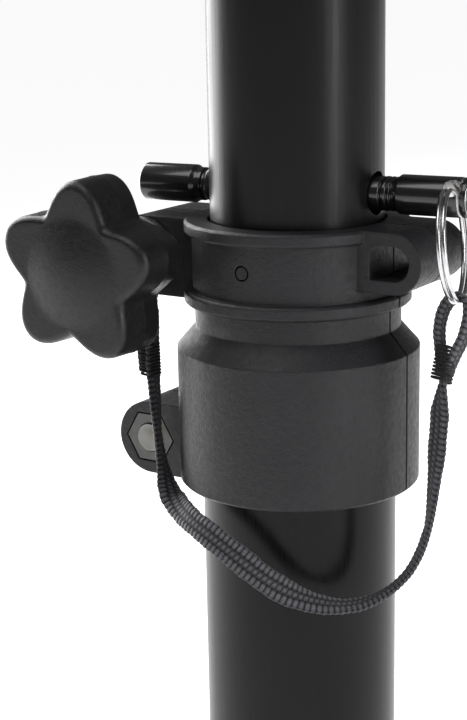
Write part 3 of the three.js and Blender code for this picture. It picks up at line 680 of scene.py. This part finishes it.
class CLAMP_OT_strap(bpy.types.Operator):
    """Weave the strap that ties the locking pin's ring to the clamp"""
    bl_idname = "clamp.strap"
    bl_label = "Strap"

    def execute(self, context):
        s = context.scene.clamp_strap
        yarn = woven("strap_yarn", tuple(s.colour), 0.35)
        self.left(s, yarn)
        self.middle(s, yarn, self.eye(s, yarn))
        return {"FINISHED"}

    def left(self, s, yarn):
        """Long slack length from the knob's stud round the front of the column."""
        faces = [(1, 0.1, 0)] * 3
        faces += [(0.95, 0.25, 0), (0.9, 0.42, 0), (0.92, 0.2, 0.05), (0.8, -0.35, 0.1), (0.45, -0.8, 0.2)]
        faces += [(0.05, -0.97, 0.35), (0.05, -0.95, 0.4), (0.2, -0.9, 0.45), (0.1, -0.8, 0.6)]
        faces += [(-0.1, -0.6, 0.75), (-0.3, -0.5, 0.8), (-0.45, -0.45, 0.75), (-0.7, -0.4, 0.5)]
        faces += [(-0.85, -0.4, 0.2), (-0.9, -0.45, 0), (-0.9, -0.45, 0)]
        obj, path, length = ribbon("strap_long", STRAP_LEFT[1:], faces[1:], s, yarn)
        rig.replaces(obj, "strap_left")
        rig.slot(obj, "webbing")
        loop = self.loop(s, yarn)
        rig.cord(obj, path[0], length, s.width, "object", stiffness="limp", lay="hanging",
                path=[tuple(p) for p in path[::4]] + [tuple(path[-1])], with_pieces=[loop])
        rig.blend(obj, "column", "mast", (-0.020, 0, 0), (0.0336, 0, 0))

    def loop(self, s, yarn):
        """Eye of the strap round the knob's stud, with its stitched neck."""
        centre = Vector((KNOB_POS.x, STUD_LOOP_Y, KNOB_POS.z))
        rise = ((-0.0262, -0.0150, 0.1535), (-0.0261, -0.0149, 0.1575), (-0.0256, STUD_LOOP_Y, 0.1617))
        points = [Vector(p) for p in rise]
        faces = [Vector((1, 0.1, 0))] * 3
        for k in range(15):
            a = math.radians(-10 + 248 * k / 14)
            out = Vector((math.cos(a), 0, math.sin(a)))
            points.append(centre + out * STUD_LOOP_R)
            faces.append(out)
        tail = [Vector((-0.0290, -0.0149, 0.1555)), Vector((-0.0276, -0.0151, 0.1500)),
                Vector((-0.0272, -0.0153, 0.1462)), Vector((-0.0270, -0.0154, 0.1436))]
        points = points + tail
        faces = faces + [Vector((-1, 0.1, 0))] * 4
        obj, _, _ = ribbon("strap_loop", points, faces, s, yarn, start=0.3)
        stitches = self.stitches((-0.02645, -0.0152, 0.1460), (-0.06, 0.05, 1), (1, 0.1, 0), s, yarn)
        join(obj, stitches)
        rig.slot(obj, "webbing")
        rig.blend(obj, "column", "knob_feed", (0, 0, 0.1515), (0, 0, 0.1615))
        return obj

    def stitches(self, place, forward, normal, s, yarn, half=0.0014):
        """Sewing thread wound tightly round a lapped end, a little unevenly."""
        place, forward, normal = Vector(place), Vector(forward).normalized(), Vector(normal).normalized()
        side = forward.cross(normal).normalized()
        rng = random.Random(5)
        points = []
        for k in range(241):
            a = 2 * math.pi * k / 24
            c, q = math.cos(a), math.sin(a)
            wide = s.width * 0.5 * (0.93 + rng.uniform(0, 0.05))
            points.append(place + forward * (k / 240 - 0.5) * 0.0068
                          + side * wide * math.copysign(abs(c) ** 0.6, c)
                          + normal * half * math.copysign(abs(q) ** 0.7, q))
        return tube("thread", points, 0.00028, yarn, 8)

    def middle(self, s, yarn, eye):
        """Upright length beside the column's right-hand side."""
        count = len(STRAP_MIDDLE)
        edge_on, turned = Vector((-0.9, -0.45, 0)), Vector((-0.45, -0.9, 0))
        faces = [edge_on.lerp(turned, min(1, k / (count * 0.45))) for k in range(count)]
        faces[-3:] = [Vector((-0.6, -0.75, 0)), Vector((-0.8, -0.6, 0)), Vector((-0.92, -0.38, 0))]
        obj, path, length = ribbon("strap_upright", STRAP_MIDDLE, faces, s, yarn, start=0.1)
        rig.replaces(obj, "strap_middle")
        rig.slot(obj, "webbing")
        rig.cord(obj, path[0], length, s.width, "object", stiffness="limp", lay="hanging",
                path=[tuple(p) for p in path[::4]] + [tuple(path[-1])], with_pieces=[eye])
        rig.blend(obj, "mast", "pin", (0, 0, 0.1170), (0, 0, 0.1484))

    def eye(self, s, yarn):
        """Eye of the strap round the ring's wires, sewn below."""
        top, low = RING_TIE, RING_TIE_LOW
        down = (low - top).normalized()
        side = Vector((1, 0, 0)) - down * down.x
        side.normalize()
        points, faces = [], []
        for x, t in ((-0.0007, 1.0), (-0.0009, 0.86), (-0.0017, 0.66), (-0.0026, 0.44), (-0.0028, 0.22),
                     (-0.0023, 0.04), (-0.0011, -0.09), (0.0004, -0.12), (0.0018, -0.06), (0.0026, 0.08),
                     (0.0028, 0.26), (0.0025, 0.46), (0.0017, 0.66), (0.0009, 0.86), (0.0007, 1.0)):
            points.append(top.lerp(low, t) + side * x)
        middle = top.lerp(low, 0.3)
        faces = [(p - middle - down * ((p - middle).dot(down)) * 0.5).normalized() for p in points]
        obj, _, _ = ribbon("strap_eye_loop", points, faces, s, yarn, start=0.2, width=s.width * 0.92)
        bars = self.stitches(low + Vector((0, 0, 0.0020)), -down, side, s, yarn, 0.0015)
        join(obj, bars)
        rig.replaces(obj, "strap_eye")
        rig.slot(obj, "webbing")
        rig.blend(obj, "pin", "ring", (0, 0, 0.1490), (0, 0, 0.1600))
        return obj


def join(obj, other):
    """Adds another mesh to this one."""
    bm = bmesh.new()
    bm.from_mesh(obj.data)
    bm.from_mesh(other.data)
    bm.to_mesh(obj.data)
    bm.free()
    bpy.data.objects.remove(other)


def tube(name, points, radius, material, sides=10):
    """Round thread or wire along the points."""
    points = [Vector(p) for p in points]
    frame_up = (points[1] - points[0]).orthogonal().normalized()
    rings = []
    for i, p in enumerate(points):
        forward = (points[min(i + 1, len(points) - 1)] - points[max(i - 1, 0)]).normalized()
        frame_up = (frame_up - forward * frame_up.dot(forward)).normalized()
        across = forward.cross(frame_up)
        rings.append([p + (frame_up * math.cos(a) + across * math.sin(a)) * radius
                      for a in (2 * math.pi * k / sides for k in range(sides))])
    return loft(name, rings, material)


class CLAMP_OT_knob(bpy.types.Operator):
    """Mould the five-lobed clamping knob"""
    bl_idname = "clamp.knob"
    bl_label = "Knob"

    def execute(self, context):
        s = context.scene.clamp_knob
        low, high = node_box("knob_body")
        hub, front = high.y, low.y + s.dome
        back = front + 0.0129
        sides = 240

        def radius(angle):
            wave = (0.5 + 0.5 * math.cos(s.lobes * (angle - s.turned))) ** 0.8
            return s.valley + (s.tip - s.valley) * wave

        def ring(y, shape):
            return [Vector((KNOB_POS.x + shape(a) * math.cos(a), y, KNOB_POS.z + shape(a) * math.sin(a)))
                    for a in (2 * math.pi * k / sides for k in range(sides))]

        rings = [ring(hub, lambda a: 0.0042), ring(hub, lambda a: 0.0074), ring(hub - 0.0002, lambda a: 0.0078),
                 ring(hub - 0.0006, lambda a: 0.008), ring(back + 0.0006, lambda a: 0.0081),
                 ring(back + 0.0002, lambda a: 0.0083), ring(back, lambda a: 0.0088)]
        heel = 0.0011  # rounding of the back edge
        rings.append(ring(back, lambda a: radius(a) - 0.0014))
        for k in range(1, 6):
            t = math.pi / 2 * k / 5
            rings.append(ring(back - heel * (1 - math.cos(t)),
                              lambda a, t=t: radius(a) - heel * (1 - math.sin(t)) - 0.0001))
        parting = back - 0.0052
        rings += [ring(parting + 0.0002, lambda a: radius(a) - 0.00002), ring(parting, lambda a: radius(a) + 0.00005),
                  ring(parting - 0.0002, lambda a: radius(a) - 0.00002)]
        fillet = s.fillet
        for k in range(0, 13):
            t = math.pi / 2 * k / 12
            rings.append(ring(front + fillet * (1 - math.sin(t)),
                              lambda a, t=t: radius(a) - 0.0002 - fillet * (1 - math.cos(t))))
        inner = s.valley - fillet - 0.0002
        for k in range(1, 5):
            t = k / 4
            rings.append(ring(front, lambda a, t=t: (radius(a) - 0.0002 - fillet) * (1 - t) + inner * t))
        for k in range(1, 25):
            t = k / 25
            reach = 1 - t * 0.97
            rings.append(ring(front - s.dome * (1 - reach ** 2) ** 1.3, lambda a, reach=reach: inner * reach))
        plastic = moulded("knob_plastic", tuple(s.colour), 0.38, 0.5)
        obj = loft("knob_grip", rings, plastic)
        sharpen(obj, 50)
        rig.replaces(obj, "knob_body")
        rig.slot(obj, "moulded_black")
        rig.ride(obj, "knob")
        return {"FINISHED"}


class CLAMP_OT_pin(bpy.types.Operator):
    """Turn the locking pin with its neck grooves and cross hole"""
    bl_idname = "clamp.pin"
    bl_label = "Pin"

    def execute(self, context):
        s = context.scene.clamp_pin
        box = node_box("locking_pin")
        place = Vector((0, 0, RING_HINGE.z))
        left, right = box[0].x / PIN_AXIS.x + 0.0002, box[1].x / PIN_AXIS.x - 0.0002
        r, w = s.radius, s.waist
        profile = [(left, 0.0), (left, 0.0012), (left + 0.0001, r - 0.0011), (left + 0.001, r - 0.0001),
                   (left + 0.0012, r)]
        profile += [(-0.0228, r), (-0.0223, r - 0.0003), (-0.0219, w), (-0.0206, w), (-0.0204, w - 0.0004),
                    (-0.0196, w - 0.0004), (-0.0194, w)]
        for groove in (0.0190, 0.0204, 0.0213):
            profile += [(groove - 0.0003, w), (groove - 0.0001, w - 0.00035),
                        (groove + 0.0001, w - 0.00035), (groove + 0.0003, w)]
        profile += [(0.0220, w), (0.0223, r - 0.0003), (0.0227, r)]
        ring_at = right - 0.0022
        profile += [(ring_at - 0.0003, r), (ring_at - 0.0001, r - 0.0003),
                    (ring_at + 0.0001, r - 0.0003), (ring_at + 0.0003, r)]
        profile += [(right - 0.0009, r), (right - 0.0007, r - 0.0001), (right - 0.0001, r - 0.0009),
                    (right, r - 0.0011), (right, 0.0)]
        profile = rounded_profile(profile[1:-1], 0.00012, 2)
        black = gloss_black("pin_black", tuple(s.colour), 0.22)
        bare = plated("pin_bare", (0.62, 0.61, 0.6), 0.24)
        obj = lathe("pin_body", profile, place, PIN_AXIS, 128, black)
        hole = place + PIN_AXIS * s.hole_at
        sink = s.hole + 0.0014
        tool = [(-0.012, sink), (-0.0055, sink), (0.0002 - r, s.hole),
                (r - 0.0002, s.hole), (0.0055, sink), (0.012, sink)]
        cut(obj, lathe("drill", tool, hole, RING_AXIS, 48, black))
        obj.data.materials.clear()
        obj.data.materials.append(black)
        obj.data.materials.append(bare)
        for polygon in obj.data.polygons:
            d = polygon.center - place
            along = d.dot(PIN_AXIS)
            off = (d - PIN_AXIS * along).length
            if abs(along - s.hole_at) < s.hole + 0.0016 and off < r - 0.0001:
                polygon.material_index = 1
        sharpen(obj, 35)
        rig.replaces(obj, "locking_pin")
        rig.slot(obj, "black_gloss")
        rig.ride(obj, "pin")
        return {"FINISHED"}


class CLAMP_OT_ring(bpy.types.Operator):
    """Wind the split ring through the pin's cross hole"""
    bl_idname = "clamp.ring"
    bl_label = "Split ring"

    def execute(self, context):
        s = context.scene.clamp_ring
        up = Vector((-0.2213, 0.5534, 0.8030)).normalized()
        side = RING_AXIS.cross(up)
        centre = RING_HINGE - up * s.radius
        points, steps = [], 300
        for k in range(steps + 1):
            turns = s.turns * (k / steps - 0.5)
            a = 2 * math.pi * turns
            points.append(centre + side * s.pitch * turns
                          - RING_AXIS * s.radius * math.sin(a) + up * s.radius * math.cos(a))
        steel = plated("ring_wire", (0.66, 0.66, 0.67), 0.2, lines=0.1)
        obj = tube("ring_coil", points, s.wire, steel, 20)
        sharpen(obj, 60)
        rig.replaces(obj, "split_ring")
        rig.slot(obj, "bright_wire")
        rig.ride(obj, "ring")
        return {"FINISHED"}


class CLAMP_OT_finish(bpy.types.Operator):
    """Give the frame's tubes, collar and fasteners their finishes"""
    bl_idname = "clamp.finish"
    bl_label = "Frame finishes"

    def execute(self, context):
        group = smooth_group(28)
        collar = moulded("collar_plastic", (0.017, 0.017, 0.0195), 0.42, 1.2, edge=0.0005)
        column = tube_paint("column_paint", (0.0035, 0.0035, 0.004), 0.30, 0.05)
        mast = tube_paint("mast_paint", (0.007, 0.007, 0.0078), 0.33, 0.06)
        plug = moulded("plug_plastic", (0.016, 0.016, 0.018), 0.5, 0.8, edge=0.0004)
        zinc = plated("zinc_plate", (0.20, 0.20, 0.195), 0.38, 0.6, 3.0)
        # painted shade: the lower nut's zinc is darker than the other zinc parts, standing in for the shade of the hex
        # pocket it sits in
        nut_painted_shade = plated("nut_plate_painted_shade", (0.10, 0.10, 0.098), 0.42, 0.6, 4.0)
        nickel = plated("washer_steel", (0.55, 0.55, 0.54), 0.3, 0.3)
        liner = pale_nylon("liner_nylon", (0.45, 0.44, 0.41))
        for material, names in (
            (collar, ("collar_front_shell", "collar_rear_shell")),
            (column, ("column_tube",)),
            (mast, ("mast_tube",)),
            (plug, ("column_foot_plug", "mast_top_plug", "column_guide_ring", "mast_guide_plug")),
            (nut_painted_shade, ("lower_nut",)),
            (zinc, ("clamp_nut", "lower_bolt", "lower_bolt_washer", "knob_stud", "knob_insert")),
            (nickel, ("knob_washer",)),
            (liner, ("brake_liner",)),
            (plug, ("liner_locating_peg",)),
        ):
            for name in names:
                dress(name, material, group)
        return {"FINISHED"}


class CLAMP_OT_stage(bpy.types.Operator):
    """Lay a plain pale floor and set the soft studio lights"""
    bl_idname = "clamp.stage"
    bl_label = "Stage"

    def execute(self, context):
        s = context.scene.clamp_stage
        floor = self.floor(s)
        lights = [
            self.light("key_light", (-0.88, 0.22, 0.42), (0.7, 1.1), s.key),
            self.light("side_light", (0.90, -0.14, 0.36), (0.22, 0.7), s.side),
            self.light("top_light", (-0.1, -0.35, 0.95), (0.6, 0.6), s.top),
        ]
        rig.stage(floor, *lights)
        world = bpy.data.worlds.new("surround")
        world.use_nodes = True
        nodes, link = world.node_tree.nodes, world.node_tree.links.new
        back = nodes["Background"]
        path, seen = nodes.new("ShaderNodeLightPath"), nodes.new("ShaderNodeMix")
        seen.data_type = "FLOAT"
        seen.inputs[2].default_value, seen.inputs[3].default_value = s.world, 1.0
        link(path.outputs["Is Camera Ray"], seen.inputs[0])
        link(seen.outputs[0], back.inputs["Strength"])
        back.inputs["Color"].default_value = (1, 1, 1, 1)
        context.scene.world = world
        context.scene.view_settings.view_transform = "Standard"
        return {"FINISHED"}

    def light(self, name, place, size, power):
        data = bpy.data.lights.new(name, "AREA")
        data.shape, data.size, data.size_y, data.energy = "RECTANGLE", size[0], size[1], power
        obj = bpy.data.objects.new(name, data)
        bpy.context.scene.collection.objects.link(obj)
        obj.location = place
        obj.rotation_euler = (Vector((0, 0, 0.15)) - Vector(place)).to_track_quat("-Z", "Y").to_euler()
        return obj

    def floor(self, s):
        """White paper: lit diffusely, lifted to white as seen, and still taking the shadow."""
        material = bpy.data.materials.new("paper")
        material.use_nodes = True
        nodes, link = material.node_tree.nodes, material.node_tree.links.new
        nodes.remove(nodes["Principled BSDF"])
        diffuse, glow = nodes.new("ShaderNodeBsdfDiffuse"), nodes.new("ShaderNodeEmission")
        path, add = nodes.new("ShaderNodeLightPath"), nodes.new("ShaderNodeAddShader")
        both = nodes.new("ShaderNodeMath")
        more, power = nodes.new("ShaderNodeMath"), nodes.new("ShaderNodeMath")
        diffuse.inputs["Color"].default_value = (s.floor, s.floor, s.floor, 1)
        link(path.outputs["Is Camera Ray"], both.inputs[0])
        link(path.outputs["Is Glossy Ray"], both.inputs[1])
        link(both.outputs[0], more.inputs[0])
        link(path.outputs["Is Transmission Ray"], more.inputs[1])
        power.operation = "MULTIPLY"
        link(more.outputs[0], power.inputs[0])
        power.inputs[1].default_value = s.lift
        link(power.outputs[0], glow.inputs["Strength"])
        link(diffuse.outputs[0], add.inputs[0])
        link(glow.outputs[0], add.inputs[1])
        link(add.outputs[0], nodes["Material Output"].inputs["Surface"])
        size = 80.0
        corners = [(-size, -size, 0), (size, -size, 0), (size, size, 0), (-size, size, 0)]
        return new_object("floor", corners, [(0, 1, 2, 3)], material, False)


class CLAMP_PT_panel(bpy.types.Panel):
    """Settings and build buttons"""
    bl_idname = "CLAMP_PT_panel"
    bl_label = "Stand clamp"
    bl_space_type = "VIEW_3D"
    bl_region_type = "UI"
    bl_category = "Clamp"

    def draw(self, context):
        for key, button in (("clamp_strap", "clamp.strap"), ("clamp_knob", "clamp.knob"), ("clamp_pin", "clamp.pin"),
                            ("clamp_ring", "clamp.ring"), ("clamp_stage", "clamp.stage")):
            box = self.layout.box()
            settings = getattr(context.scene, key)
            for name in settings.__annotations__:
                box.prop(settings, name)
            box.operator(button)
        self.layout.operator("clamp.finish")
        self.layout.operator("clamp.camera")


SETTINGS = {
    "clamp_strap": StrapSettings, "clamp_knob": KnobSettings, "clamp_pin": PinSettings,
    "clamp_ring": RingSettings, "clamp_stage": StageSettings,
}
CLASSES = (*SETTINGS.values(), CLAMP_OT_camera, CLAMP_OT_strap, CLAMP_OT_knob, CLAMP_OT_pin, CLAMP_OT_ring,
           CLAMP_OT_finish, CLAMP_OT_stage, CLAMP_PT_panel)


def register():
    for cls in CLASSES:
        bpy.utils.register_class(cls)
    for key, cls in SETTINGS.items():
        setattr(bpy.types.Scene, key, PointerProperty(type=cls))


def unregister():
    for key in SETTINGS:
        delattr(bpy.types.Scene, key)
    for cls in reversed(CLASSES):
        bpy.utils.unregister_class(cls)


def main():
    register()
    bpy.ops.clamp.camera()
    bpy.ops.clamp.strap()
    bpy.ops.clamp.knob()
    bpy.ops.clamp.pin()
    bpy.ops.clamp.ring()
    bpy.ops.clamp.finish()
    bpy.ops.clamp.stage()
    bpy.context.view_layer.update()
    size = {"frame": [[float(v) for v in corner] for corner in CAD_BOX],
            "visual": [[float(v) for v in corner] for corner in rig.bounds()]}
    with open("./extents.json", "w") as out:
        json.dump(size, out, indent=1)


if __name__ == "__main__":
    main()
